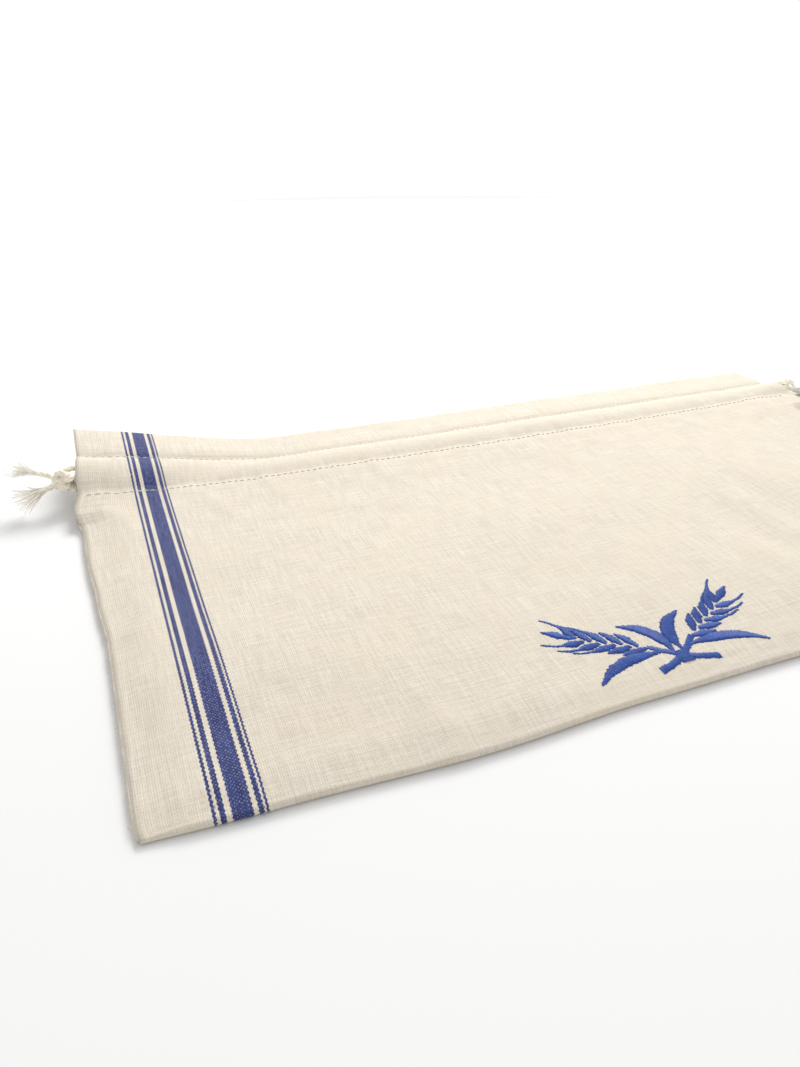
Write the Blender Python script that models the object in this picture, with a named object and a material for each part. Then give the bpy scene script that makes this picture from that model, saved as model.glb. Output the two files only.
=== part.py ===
"""Linen bread bag with two drawstrings, lying empty on a flat surface.

Metres, +Z up. +X runs along the mouth and +Y from the bottom fold to the mouth. The origin is on the
surface, under the middle of the bag. One length of cloth makes the back layer, turns up at the bottom
fold and comes back as the front layer. The side seams close it as far as the drawstring tunnels.
"""

import math
from collections import namedtuple

import bmesh
import bpy

# Bag
BAG_WIDTH = 0.420
BAG_DEPTH = 0.263
MOUTH_SKEW = 0.007  # the left corner of the mouth reaches this much further than the rest
SKEW_START = 0.120  # from the fold
ORIGIN_FROM_FOLD = 0.1341
PLY = 0.0011  # one layer of cloth

# Drawstring tunnels, measured from the bottom fold
TUNNEL_MIDDLE = 0.222
TUNNEL_HALF_WIDTH = 0.010
TUNNEL_HEIGHT = 0.0037
TUNNEL_RING_POINTS = 14
TUNNEL_OVERRUN = 0.012  # how far a tunnel's cutter runs out at each side

# Bottom fold
FOLD_GAP = 0.0016
FOLD_STEPS = 6
FOLD_REACH = 0.060  # how far up the bag the fold's waviness reaches

# Side seams
SEAM_TOP = 0.196
SEAM_WIDTH = 0.0032
SEAM_PROUD = 0.0004
SEAM_START = 0.0007
SIDE_FADE = 0.020  # how far in from a side its waviness reaches
SIDE_TAPER = 0.016  # how far in from a seam the layers open out
SIDE_CLOSED = 0.35  # the share of the gap between the layers that is left at a seam

# The mouth's left corner stands up from the surface and gapes
LIFT_REACH = 0.105  # along the mouth
LIFT_REACH_LOW = 0.030  # along the foot of the drawstring tunnels
LIFT_WIDENS = 0.050  # how far up from the side seams it takes to reach its full length
LIFT_START, LIFT_FULL, LIFT_HEIGHT = 0.190, 0.240, 0.0095
GAPE_START, GAPE_FULL, GAPE_HEIGHT = 0.205, 0.263, 0.0080

# Drawstrings
CORD = 0.0027
CORD_SPACING = 0.0056  # between the two cords in a tunnel
CORD_SIDES = 2  # bevel resolution
RUN_OVER = 0.0012  # how far a cord runs straight on out of a tunnel
TURN_STEPS = 7
TURN_CLEAR = 0.0010
TAIL_STEPS = 4
JOINT_GAP = 0.0006

SECTIONS = 30
SHARP_ANGLE = math.radians(40)

# A station is a place along a layer, from the mouth down to the bottom fold: its distance from the fold,
# how thick the layer is there, and the gap between the two layers.
Station = namedtuple("Station", "from_fold thick gap")
STATIONS = (
    Station(0.2630, 1.75 * PLY, 0.0010),
    Station(0.2615, 2.00 * PLY, 0.0010),
    Station(0.2520, 2.00 * PLY, 0.0011),
    Station(0.2430, 2.00 * PLY, 0.0013),
    Station(0.2385, 1.85 * PLY, 0.0014),
    Station(0.2360, 1.55 * PLY, 0.0014),
    Station(0.2335, 1.95 * PLY, 0.0012),
    Station(0.2120, 1.95 * PLY, 0.0014),
    Station(0.2090, 1.55 * PLY, 0.0034),
    Station(0.2060, 1.15 * PLY, 0.0042),
    Station(0.1960, 1.00 * PLY, 0.0040),
    Station(0.1800, 1.00 * PLY, 0.0034),
    Station(0.1500, 1.00 * PLY, 0.0030),
    Station(0.0500, 1.00 * PLY, 0.0030),
    Station(0.0150, 1.00 * PLY, 0.0024),
    Station(0.0020, 1.00 * PLY, FOLD_GAP),
)

# The places where a layer gets a row of points: the stations, the curve of the tunnel and the body's length.
TUNNEL_ROWS = (-0.97, -0.86, -0.62, -0.3, 0.0, 0.3, 0.62, 0.86, 0.97)
BODY_ROWS = (0.170, 0.160, 0.138, 0.122, 0.106, 0.090, 0.074, 0.060, 0.038, 0.026, 0.007)

# How far each side stands out from the straight line, along the bag.
Side = namedtuple("Side", "from_fold left right")
SIDES = (
    Side(0.000, -0.0008, -0.0008),
    Side(0.006, 0.0000, 0.0000),
    Side(0.095, 0.0000, -0.0010),
    Side(0.130, 0.0020, -0.0030),
    Side(0.160, 0.0038, -0.0060),
    Side(0.186, 0.0040, -0.0074),
    Side(0.199, 0.0070, 0.0022),
    Side(0.212, 0.0044, 0.0034),
    Side(0.240, 0.0024, 0.0028),
    Side(0.263, 0.0022, 0.0022),
)

# How far the bottom fold strays from a straight line, across the bag.
FoldLine = namedtuple("FoldLine", "across out")
FOLD_LINE = (
    FoldLine(0.000, 0.0010),
    FoldLine(0.090, 0.0000),
    FoldLine(0.250, -0.0020),
    FoldLine(0.400, 0.0010),
    FoldLine(0.550, 0.0020),
    FoldLine(0.780, 0.0006),
    FoldLine(1.000, 0.0010),
)

# Soft mounds and troughs of the front layer: centre from the left side and from the fold, reach, height.
Mound = namedtuple("Mound", "across from_fold reach_x reach_y height")
MOUNDS = (
    Mound(0.070, 0.066, 0.100, 0.062, 0.0016),
    Mound(0.225, 0.050, 0.120, 0.046, 0.0011),
    Mound(0.350, 0.110, 0.090, 0.095, 0.0018),
    Mound(0.190, 0.160, 0.130, 0.045, -0.0008),
    Mound(0.280, 0.078, 0.015, 0.052, -0.0013),
    Mound(0.306, 0.100, 0.015, 0.050, -0.0013),
    Mound(0.095, 0.018, 0.012, 0.026, 0.0008),
    Mound(0.392, 0.200, 0.036, 0.030, 0.0014),
)

# A drawstring's own side of the bag: outward is -1 at the left and 1 at the right, and its cord lies
# off_middle from the tunnel's middle. The knot's centre is set from the middle of the two tunnels' ends,
# and the free ends' points from the knot's centre, all as steps outward, in Y and in Z.
Drawstring = namedtuple("Drawstring", "side outward off_middle knot upper_end lower_end")
DRAWSTRINGS = (
    Drawstring(
        side="left",
        outward=-1,
        off_middle=-CORD_SPACING / 2,
        knot=(0.0048, -0.0004, 0.0016),
        upper_end=((0.0052, 0.0012, 0.0026), (0.0105, 0.0032, 0.0040), (0.0155, 0.0056, 0.0048)),
        lower_end=((0.0052, -0.0006, -0.0022), (0.0100, -0.0012, -0.0034), (0.0145, -0.0030, -0.0044)),
    ),
    Drawstring(
        side="right",
        outward=1,
        off_middle=CORD_SPACING / 2,
        knot=(0.0048, 0.0006, 0.0002),
        upper_end=((0.0052, 0.0016, 0.0018), (0.0105, 0.0052, 0.0004), (0.0155, 0.0090, -0.0022)),
        lower_end=((0.0052, -0.0012, -0.0018), (0.0100, -0.0028, -0.0030), (0.0145, -0.0050, -0.0036)),
    ),
)
KNOT_RADII = (0.0036, 0.0046, 0.0052)  # outward, Y and Z
KNOT_ENTRY = 0.0026  # how far above and below the knot's middle its cords go in
KNOT_SEGMENTS, KNOT_RINGS = 18, 12
KNOT_GROOVE = 0.07
KNOT_LAYS = 2  # turns of cord that show round the knot
KNOT_TWIST = 2.2


def ease(share):
    """0 to 1 with a soft start and end."""
    share = min(max(share, 0.0), 1.0)
    return share * share * (3.0 - 2.0 * share)


def bump(share):
    """1 in the middle, running out softly to 0 at -1 and 1."""
    return (1.0 - share * share) ** 2 if abs(share) < 1.0 else 0.0


def read_table(rows, place, column):
    """A column of a table at a place between two of its rows. Each table's first column is the place."""
    ordered = sorted(rows, key=lambda row: row[0])
    for before, after in zip(ordered, ordered[1:]):
        if place <= after[0]:
            share = ease((place - before[0]) / (after[0] - before[0]))
            start, end = getattr(before, column), getattr(after, column)
            return start + share * (end - start)
    return getattr(ordered[-1], column)


def tunnel_height(from_fold):
    """Clear height of a tunnel, an ellipse across its width."""
    share = (from_fold - TUNNEL_MIDDLE) / TUNNEL_HALF_WIDTH
    return TUNNEL_HEIGHT * math.sqrt(1.0 - share * share) if abs(share) < 1.0 else 0.0


def place_x(across, from_fold):
    """X of a place on the cloth, across being 0 at the left side and 1 at the right one."""
    x = (across - 0.5) * BAG_WIDTH
    near_left = 1.0 - min(max(across, 0.0) * BAG_WIDTH / SIDE_FADE, 1.0)
    near_right = 1.0 - min(max(1.0 - across, 0.0) * BAG_WIDTH / SIDE_FADE, 1.0)
    x -= read_table(SIDES, from_fold, "left") * ease(near_left)
    x += read_table(SIDES, from_fold, "right") * ease(near_right)
    return x


def place_y(across, from_fold):
    """Y of a place on the cloth: the fold strays a little, and the mouth's left corner reaches further."""
    toward_fold = 1.0 - min(from_fold / FOLD_REACH, 1.0)
    toward_mouth = ease((from_fold - SKEW_START) / (BAG_DEPTH - SKEW_START))
    skew = MOUTH_SKEW * bump(min(max(across, 0.0) * BAG_WIDTH / LIFT_REACH, 1.0)) * toward_mouth
    return from_fold - ORIGIN_FROM_FOLD + read_table(FOLD_LINE, across, "out") * toward_fold + skew


def corner_share(across, from_fold):
    """1 at the bag's left side, falling to 0 further in. The raised corner narrows toward the fold."""
    widening = ease((from_fold - SEAM_TOP) / LIFT_WIDENS)
    reach = LIFT_REACH_LOW + (LIFT_REACH - LIFT_REACH_LOW) * widening
    return (1.0 - min(max(across, 0.0) * BAG_WIDTH / reach, 1.0)) ** 1.5


def lift(across, from_fold):
    """How far the whole bag stands off the surface."""
    corner = corner_share(across, from_fold)
    return LIFT_HEIGHT * corner * ease((from_fold - LIFT_START) / (LIFT_FULL - LIFT_START))


def layer_gap(across, from_fold):
    """The gap between the two layers."""
    gap = read_table(STATIONS, from_fold, "gap")
    for mound in MOUNDS:
        along_x = bump((across * BAG_WIDTH - mound.across) / mound.reach_x)
        gap += mound.height * along_x * bump((from_fold - mound.from_fold) / mound.reach_y)
    edge = min(max(across, 0.0), max(1.0 - across, 0.0)) * BAG_WIDTH
    if from_fold < SEAM_TOP:
        gap *= SIDE_CLOSED + (1.0 - SIDE_CLOSED) * ease(edge / SIDE_TAPER)
    gape = corner_share(across, from_fold)
    return gap + GAPE_HEIGHT * gape * ease((from_fold - GAPE_START) / (GAPE_FULL - GAPE_START))


def heights(across, from_fold):
    """Z of the back layer's underside and top, and of the front layer's underside and top."""
    thick = read_table(STATIONS, from_fold, "thick") + tunnel_height(from_fold)
    back = lift(across, from_fold)
    front = back + thick + layer_gap(across, from_fold)
    return back, back + thick, front, front + thick


def tunnel_mid(layer, across, from_fold):
    """Z of the middle of the tunnel in the back layer (0) or the front layer (1)."""
    levels = heights(across, from_fold)
    return 0.5 * (levels[2 * layer] + levels[2 * layer + 1])


def section_places():
    """Places of the sections across the bag, closer together towards the sides."""
    return [0.5 - 0.5 * math.cos(math.pi * step / SECTIONS) for step in range(SECTIONS + 1)]


def layer_rows():
    """Places of the rows of points along one layer, from the mouth to the bottom fold."""
    rows = [station.from_fold for station in STATIONS]
    rows += [TUNNEL_MIDDLE + TUNNEL_HALF_WIDTH * share for share in TUNNEL_ROWS]
    rows += BODY_ROWS
    return sorted(rows, reverse=True)


def bag_section(across):
    """Outer and inner points of one section: back layer from the mouth to the fold, round it, and back."""
    outer, inner = [], []
    rows = layer_rows()
    for from_fold in rows:
        back_under, back_top, _, _ = heights(across, from_fold)
        x, y = place_x(across, from_fold), place_y(across, from_fold)
        outer.append((x, y, back_under))
        inner.append((x, y, back_top))
    _, inner_low, inner_high, outer_high = heights(across, rows[-1])
    x, y = place_x(across, 0.0), place_y(across, rows[-1])
    middle = 0.5 * (inner_low + inner_high)
    for step in range(1, FOLD_STEPS):
        turn = math.pi * step / FOLD_STEPS
        for points, radius in ((outer, outer_high - middle), (inner, inner_high - middle)):
            points.append((x, y - radius * math.sin(turn), middle - radius * math.cos(turn)))
    for from_fold in reversed(rows):
        _, _, front_under, front_top = heights(across, from_fold)
        x, y = place_x(across, from_fold), place_y(across, from_fold)
        outer.append((x, y, front_top))
        inner.append((x, y, front_under))
    return outer, inner


def link(mesh_object, collection, material):
    """Puts an object in a collection with its material, shaded smooth."""
    mesh_object.data.materials.append(material)
    collection.objects.link(mesh_object)
    if mesh_object.type == "MESH":
        mesh_object.data.shade_smooth()
        mesh_object.data.set_sharp_from_angle(angle=SHARP_ANGLE)
    return mesh_object


def solid_from_bmesh(name, bm):
    mesh = bpy.data.meshes.new(name)
    bm.to_mesh(mesh)
    bm.free()
    return bpy.data.objects.new(name, mesh)


def sheet_between(name, outer_rows, inner_rows):
    """A closed sheet between two grids of points with the same rows and columns."""
    bm = bmesh.new()
    outer = [[bm.verts.new(point) for point in row] for row in outer_rows]
    inner = [[bm.verts.new(point) for point in row] for row in inner_rows]
    last_row, last_column = len(outer) - 1, len(outer[0]) - 1
    for row in range(last_row):
        for column in range(last_column):
            for grid in (outer, inner):
                corners = (
                    grid[row][column],
                    grid[row][column + 1],
                    grid[row + 1][column + 1],
                    grid[row + 1][column],
                )
                bm.faces.new(corners if grid is outer else corners[::-1])
    for column in range(last_column):
        for row in (0, last_row):
            rim = (outer[row][column], inner[row][column], inner[row][column + 1], outer[row][column + 1])
            bm.faces.new(rim if row == 0 else rim[::-1])
    for row in range(last_row):
        for column in (0, last_column):
            rim = (outer[row][column], outer[row + 1][column], inner[row + 1][column], inner[row][column])
            bm.faces.new(rim if column == 0 else rim[::-1])
    bmesh.ops.recalc_face_normals(bm, faces=bm.faces)
    return solid_from_bmesh(name, bm)


def tube_between(name, rings):
    """A closed tube through rings of points, its two ends filled."""
    bm = bmesh.new()
    loops = [[bm.verts.new(point) for point in ring] for ring in rings]
    count = len(rings[0])
    for before, after in zip(loops, loops[1:]):
        for side in range(count):
            following = (side + 1) % count
            bm.faces.new((before[side], before[following], after[following], after[side]))
    bm.faces.new(loops[0])
    bm.faces.new(loops[-1])
    bmesh.ops.recalc_face_normals(bm, faces=bm.faces)
    return solid_from_bmesh(name, bm)


def seam_strip(name, across_edge, inward):
    """The seam allowance of one side: it fills the gap between the layers from the fold to the tunnels."""
    rows = [place for place in layer_rows() if SEAM_START < place < SEAM_TOP] + [SEAM_START]
    lower, upper = [], []
    for step in (-SEAM_PROUD, SEAM_WIDTH):
        low, high = [], []
        for from_fold in [SEAM_TOP] + rows:
            back_under, back_top, front_under, front_top = heights(across_edge, from_fold)
            x = place_x(across_edge, from_fold) + inward * step
            y = place_y(across_edge, from_fold)
            low.append((x, y, 0.5 * (back_under + back_top)))
            high.append((x, y, 0.5 * (front_under + front_top)))
        lower.append(low)
        upper.append(high)
    return sheet_between(name, upper, lower)


def tunnel_cutter(name, layer):
    """The clear space of one tunnel, longer than the bag is wide."""
    overrun = TUNNEL_OVERRUN / BAG_WIDTH
    rings = []
    for across in [-overrun] + section_places() + [1.0 + overrun]:
        ring = []
        for step in range(TUNNEL_RING_POINTS):
            turn = 2.0 * math.pi * step / TUNNEL_RING_POINTS
            from_fold = TUNNEL_MIDDLE + TUNNEL_HALF_WIDTH * math.cos(turn)
            z = tunnel_mid(layer, across, from_fold) + 0.5 * TUNNEL_HEIGHT * math.sin(turn)
            ring.append((place_x(across, from_fold), place_y(across, from_fold), z))
        rings.append(ring)
    return tube_between(name, rings)


def add_boolean(target, tool, operation):
    modifier = target.modifiers.new(tool.name, "BOOLEAN")
    modifier.operation = operation
    modifier.solver = "EXACT"
    modifier.object = tool


def hide_tool(tool, tools):
    tools.objects.link(tool)
    tool.hide_render = True
    tool.display_type = "WIRE"


def make_bag(parts, tools, cloth):
    """The bag's cloth: the sheet, joined along its side seams, with two tunnels through its mouth hem."""
    sections = [bag_section(across) for across in section_places()]
    bag = sheet_between("bag_cloth", [outer for outer, _ in sections], [inner for _, inner in sections])
    link(bag, parts, cloth)
    for name, across_edge, inward in (("seam_left", 0.0, 1.0), ("seam_right", 1.0, -1.0)):
        strip = seam_strip(name, across_edge, inward)
        hide_tool(strip, tools)
        add_boolean(bag, strip, "UNION")
    for name, layer in (("tunnel_back", 0), ("tunnel_front", 1)):
        cutter = tunnel_cutter(name, layer)
        hide_tool(cutter, tools)
        add_boolean(bag, cutter, "DIFFERENCE")
    return bag


def make_cord(name, route, parts, material):
    """A cord of full thickness along a route."""
    curve = bpy.data.curves.new(name, "CURVE")
    curve.dimensions = "3D"
    curve.bevel_depth = CORD / 2
    curve.bevel_resolution = CORD_SIDES
    curve.use_fill_caps = True
    spline = curve.splines.new("POLY")
    spline.points.add(len(route) - 1)
    for point, place in zip(spline.points, route):
        point.co = (*place, 1.0)
    return link(bpy.data.objects.new(name, curve), parts, material)


def tunnel_route(layer, from_fold):
    """Points down the middle of a cord in one tunnel, from the left side to just past the right one."""
    overrun = RUN_OVER / BAG_WIDTH
    places = [-overrun] + section_places() + [1.0 + overrun]
    return [
        (place_x(across, from_fold), place_y(across, from_fold), tunnel_mid(layer, across, from_fold))
        for across in places
    ]


def turn_route(front_end, back_end, outward):
    """A half turn round the side of the bag, from one tunnel's end to the other's."""
    radius = 0.5 * (front_end[2] - back_end[2])
    middle_z = 0.5 * (front_end[2] + back_end[2])
    points = []
    for step in range(TURN_STEPS + 1):
        turn = math.pi * step / TURN_STEPS
        x = front_end[0] + outward * (TURN_CLEAR + radius * math.sin(turn))
        points.append((x, front_end[1], middle_z + radius * math.cos(turn)))
    return points


def smooth_route(points, steps):
    """A smooth curve through a few points, as a Catmull-Rom spline."""
    ends = [points[0]] + list(points) + [points[-1]]
    route = []
    for before, start, end, after in zip(ends, ends[1:], ends[2:], ends[3:]):
        for step in range(steps):
            t = step / steps
            route.append(
                tuple(
                    0.5
                    * (
                        2 * b
                        + (c - a) * t
                        + (2 * a - 5 * b + 4 * c - d) * t * t
                        + (3 * b - a - 3 * c + d) * t**3
                    )
                    for a, b, c, d in zip(before, start, end, after)
                )
            )
    return route + [points[-1]]


def make_knot(name, centre, parts, material):
    """An overhand knot of two cords: a rounded lump with the slanting turns of the cord round it."""
    bm = bmesh.new()
    bmesh.ops.create_uvsphere(bm, u_segments=KNOT_SEGMENTS, v_segments=KNOT_RINGS, radius=1.0)
    for vert in bm.verts:
        across, up, along = vert.co.x, vert.co.y, vert.co.z
        angle = math.atan2(up, across)
        ring = math.hypot(across, up)
        swell = 1.0 + KNOT_GROOVE * ring * math.cos(KNOT_LAYS * angle + KNOT_TWIST * along)
        offset = (along * KNOT_RADII[0], across * swell * KNOT_RADII[1], up * swell * KNOT_RADII[2])
        vert.co = [start + step for start, step in zip(centre, offset)]
    return link(solid_from_bmesh(name, bm), parts, material)


def make_drawstring(string, parts, material):
    """One drawstring: its run through both tunnels, its knot and its two free ends."""
    from_fold = TUNNEL_MIDDLE + string.off_middle
    rightward = tunnel_route(1, from_fold), tunnel_route(0, from_fold)
    front, back = rightward if string.outward < 0 else (run[::-1] for run in rightward)
    turn = turn_route(front[-1], back[-1], -string.outward)
    own_front, own_back = front[0], back[0]
    middle = [0.5 * (a + b) for a, b in zip(own_front, own_back)]
    centre = (
        middle[0] + string.outward * string.knot[0],
        middle[1] + string.knot[1],
        middle[2] + string.knot[2],
    )
    entry_x = centre[0] - string.outward * (KNOT_RADII[0] + JOINT_GAP)
    upper_in, lower_in = ((entry_x, centre[1], centre[2] + rise) for rise in (KNOT_ENTRY, -KNOT_ENTRY))
    run = [upper_in] + front + turn + back[::-1] + [lower_in]
    make_cord(f"drawstring_{string.side}", run, parts, material)
    make_knot(f"knot_{string.side}", centre, parts, material)
    for place, steps in (("upper", string.upper_end), ("lower", string.lower_end)):
        points = [(centre[0] + string.outward * dx, centre[1] + dy, centre[2] + dz) for dx, dy, dz in steps]
        make_cord(f"tail_{string.side}_{place}", smooth_route(points, TAIL_STEPS), parts, material)


def make_material(name, colour, roughness):
    material = bpy.data.materials.new(name)
    material.use_nodes = True
    shader = material.node_tree.nodes["Principled BSDF"]
    shader.inputs["Base Color"].default_value = (*colour, 1.0)
    shader.inputs["Roughness"].default_value = roughness
    shader.inputs["Metallic"].default_value = 0.0
    return material


def main():
    for old in list(bpy.data.objects):
        bpy.data.objects.remove(old)
    parts = bpy.data.collections.new("linen_bread_bag")
    tools = bpy.data.collections.new("tools")
    for collection in (parts, tools):
        bpy.context.scene.collection.children.link(collection)
    cloth = make_material("half_linen", (0.78, 0.72, 0.60), 0.92)
    cotton = make_material("cotton_cord", (0.80, 0.75, 0.64), 0.95)
    make_bag(parts, tools, cloth)
    for string in DRAWSTRINGS:
        make_drawstring(string, parts, cotton)


main()
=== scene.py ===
"""Looks of the linen bread bag: striped half-linen cloth lying flat, its stitched mouth hem, the knotted
drawstrings, and two satin-stitched ears of wheat near the bottom fold.

Metres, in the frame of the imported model. +X runs along the mouth and +Y from the bottom fold to the mouth.
"""

import math
from collections import namedtuple

import bpy
import numpy as np
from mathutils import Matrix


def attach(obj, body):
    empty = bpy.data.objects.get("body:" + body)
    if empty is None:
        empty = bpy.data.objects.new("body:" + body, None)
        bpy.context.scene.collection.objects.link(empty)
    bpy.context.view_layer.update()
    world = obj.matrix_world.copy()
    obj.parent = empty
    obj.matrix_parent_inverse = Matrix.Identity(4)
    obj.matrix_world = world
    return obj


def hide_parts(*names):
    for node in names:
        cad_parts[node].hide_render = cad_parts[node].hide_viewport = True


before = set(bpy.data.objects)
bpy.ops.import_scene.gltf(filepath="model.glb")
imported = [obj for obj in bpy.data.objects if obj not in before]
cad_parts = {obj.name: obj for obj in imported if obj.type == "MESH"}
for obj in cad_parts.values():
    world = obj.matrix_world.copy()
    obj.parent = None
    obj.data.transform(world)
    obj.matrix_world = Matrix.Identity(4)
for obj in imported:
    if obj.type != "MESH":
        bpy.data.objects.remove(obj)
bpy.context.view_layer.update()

MM = 0.001

# ---------------------------------------------------------------- the bag's own measures

BAG_WIDTH = 0.420
BAG_DEPTH = 0.263
MOUTH_SKEW = 0.007  # how far the mouth's left corner is drawn away from the fold
SKEW_START = 0.120
ORIGIN_FROM_FOLD = 0.1341
PLY = 0.0011  # the space that one layer of cloth takes in the frame
CLOTH = 0.00060  # the cloth itself

TUNNEL_MIDDLE = 0.222
TUNNEL_HALF_WIDTH = 0.0128
TUNNEL_HEIGHT = 0.0020  # where the cords come out
TUNNEL_HEIGHT_INSIDE = 0.0013  # where the cloth presses the cords flat
TUNNEL_OPENS = 0.045  # over what distance from the side it changes from one to the other
UPPER_STITCHES = 0.2360
LOWER_STITCHES = 0.2090
HEM_END = 0.2055
SEAM_TOP = 0.196
FOLD_REACH = 0.060  # how far into the bag the bow of its bottom fold is felt
SIDE_FADE = 0.020  # and the bow of its sides
SIDE_TAPER = 0.016  # over what distance the side seams draw the two layers together
SIDE_CLOSED = 0.35  # the share of the gap that is left at the side
SEAM_FLAT = 0.007  # how far a side seam keeps the cloth beside it flat

# The left corner of the mouth stands up and gapes: how far it reaches into the bag at the mouth and near the
# fold, and between which distances from the fold it rises and opens.
LIFT_REACH, LIFT_REACH_LOW, LIFT_WIDENS = 0.105, 0.030, 0.050
LIFT_START, LIFT_FULL, LIFT_HEIGHT = 0.190, 0.240, 0.0095
GAPE_START, GAPE_FULL, GAPE_HEIGHT = 0.205, 0.263, 0.0080

CORD = 0.0027
CORD_SPACING = 0.0056
RUN_OVER = 0.0012  # how far a drawstring's run reaches past the bag's side
TURN_CLEAR = 0.0010  # how much further out its turn at the far side starts
MOUTH_ROUND = 0.0010
FOLD_SINK = 0.0011  # how much lower than the frame's space the cloth lies at its bottom fold
LAYER_SINK = 0.0004  # and over the rest of the bag
STITCH_PITCH = 0.0031
STITCH_THREAD = 0.00046
STITCH_PULL = 0.00026  # how far a line of stitches draws the front layer in
STITCH_PULL_BACK = 1.1  # the back layer's share of that
STITCH_PULL_REACH = 0.0011

# From the bottom fold to the mouth: how thick a layer is with its hem, and the gap between the two layers.
Station = namedtuple("Station", "from_fold thick gap")
STATIONS = (
    Station(0.0020, 1.00 * PLY, 0.0016),
    Station(0.0150, 1.00 * PLY, 0.0024),
    Station(0.0500, 1.00 * PLY, 0.0030),
    Station(0.1500, 1.00 * PLY, 0.0030),
    Station(0.1800, 1.00 * PLY, 0.0034),
    Station(0.1960, 1.00 * PLY, 0.0040),
    Station(0.2060, 1.15 * PLY, 0.0042),
    Station(0.2090, 1.55 * PLY, 0.0034),
    Station(0.2120, 1.95 * PLY, 0.0014),
    Station(0.2335, 1.95 * PLY, 0.0012),
    Station(0.2360, 1.55 * PLY, 0.0014),
    Station(0.2385, 1.85 * PLY, 0.0014),
    Station(0.2430, 2.00 * PLY, 0.0013),
    Station(0.2520, 2.00 * PLY, 0.0011),
    Station(0.2615, 2.00 * PLY, 0.0010),
    Station(0.2630, 1.75 * PLY, 0.0010),
)
# How far each side bows out.
Side = namedtuple("Side", "from_fold left right")
SIDES = (
    Side(0.000, -0.0008, -0.0008),
    Side(0.006, 0.0000, 0.0000),
    Side(0.095, 0.0000, -0.0010),
    Side(0.130, 0.0020, -0.0030),
    Side(0.160, 0.0038, -0.0060),
    Side(0.186, 0.0040, -0.0074),
    Side(0.199, 0.0070, 0.0022),
    Side(0.212, 0.0044, 0.0034),
    Side(0.240, 0.0024, 0.0028),
    Side(0.263, 0.0022, 0.0022),
)
# How far the bottom fold bows out, at shares of the bag's width.
FoldLine = namedtuple("FoldLine", "across out")
FOLD_LINE = (
    FoldLine(0.000, 0.0010),
    FoldLine(0.090, 0.0000),
    FoldLine(0.250, -0.0020),
    FoldLine(0.400, 0.0010),
    FoldLine(0.550, 0.0020),
    FoldLine(0.780, 0.0006),
    FoldLine(1.000, 0.0010),
)
# Soft mounds and hollows of the front layer, in metres from the left side and from the fold.
Mound = namedtuple("Mound", "across from_fold reach_x reach_y height")
MOUNDS = (
    Mound(0.070, 0.066, 0.100, 0.062, 0.0016),
    Mound(0.225, 0.050, 0.120, 0.046, 0.0011),
    Mound(0.350, 0.110, 0.090, 0.095, 0.0018),
    Mound(0.190, 0.160, 0.130, 0.045, -0.0008),
    Mound(0.280, 0.078, 0.015, 0.052, -0.0013),
    Mound(0.306, 0.100, 0.015, 0.050, -0.0013),
    Mound(0.095, 0.018, 0.012, 0.026, 0.0008),
    Mound(0.392, 0.200, 0.036, 0.030, 0.0014),
)

# Small creases of the front layer: from one end to the other, how wide and how high, in millimetres.
Crease = namedtuple("Crease", "x1 y1 x2 y2 wide high")
CREASES = (
    Crease(281, 104, 277, 50, 5.0, -0.45),
    Crease(310, 122, 300, 74, 5.0, -0.45),
    Crease(96, 32, 94, 2, 3.6, 0.35),
    Crease(44, 167, 128, 161, 4.0, -0.30),
    Crease(50, 205, 63, 176, 4.0, 0.42),
    Crease(84, 205, 92, 182, 3.6, 0.36),
    Crease(8, 204, 19, 172, 4.0, 0.40),
    Crease(30, 150, 12, 118, 5.0, 0.30),
    Crease(140, 206, 150, 176, 4.6, 0.40),
    Crease(232, 206, 222, 178, 4.6, 0.36),
    Crease(330, 206, 342, 172, 5.0, 0.40),
    Crease(396, 204, 386, 168, 5.0, 0.45),
    Crease(208, 92, 236, 78, 7.0, 0.25),
    Crease(360, 66, 396, 40, 6.0, 0.28),
)

# Waviness of the front layer: its height in millimetres, its pitch along and over the bag in metres.
Waves = namedtuple("Waves", "high pitch_along pitch_over seed")
SLACK = (Waves(0.40, 0.043, 0.036, 3), Waves(0.20, 0.017, 0.015, 5), Waves(0.07, 0.0062, 0.0058, 7))
LOWER_GATHERS = Waves(0.42, 0.0047, 0.034, 11)
UPPER_GATHERS = Waves(0.26, 0.0056, 0.040, 13)
TUNNEL_GATHERS = Waves(0.26, 0.0068, 0.022, 17)
HEADER_WAVES = Waves(0.34, 0.021, 0.045, 19)

STRIPE_FROM = 20.8  # millimetres from the left side
STRIPE_WIDE = 15.7
TOOTH_PITCH = 1.9  # from one step of the stripe's edges to the next

# ---------------------------------------------------------------- small tools of shape


def ease(share):
    share = np.clip(share, 0.0, 1.0)
    return share * share * (3.0 - 2.0 * share)


def bump(share):
    return np.where(np.abs(share) < 1.0, (1.0 - share * share) ** 2, 0.0)


def read_table(rows, place, column):
    """A column of a table, at many places, with soft steps between its rows."""
    places = np.array([row[0] for row in rows])
    values = np.array([getattr(row, column) for row in rows])
    place = np.asarray(place, float)
    before = np.clip(np.searchsorted(places, place, side="left") - 1, 0, len(rows) - 2)
    share = ease((place - places[before]) / (places[before + 1] - places[before]))
    return values[before] + share * (values[before + 1] - values[before])


TABLE_SIDE = 64


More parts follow.
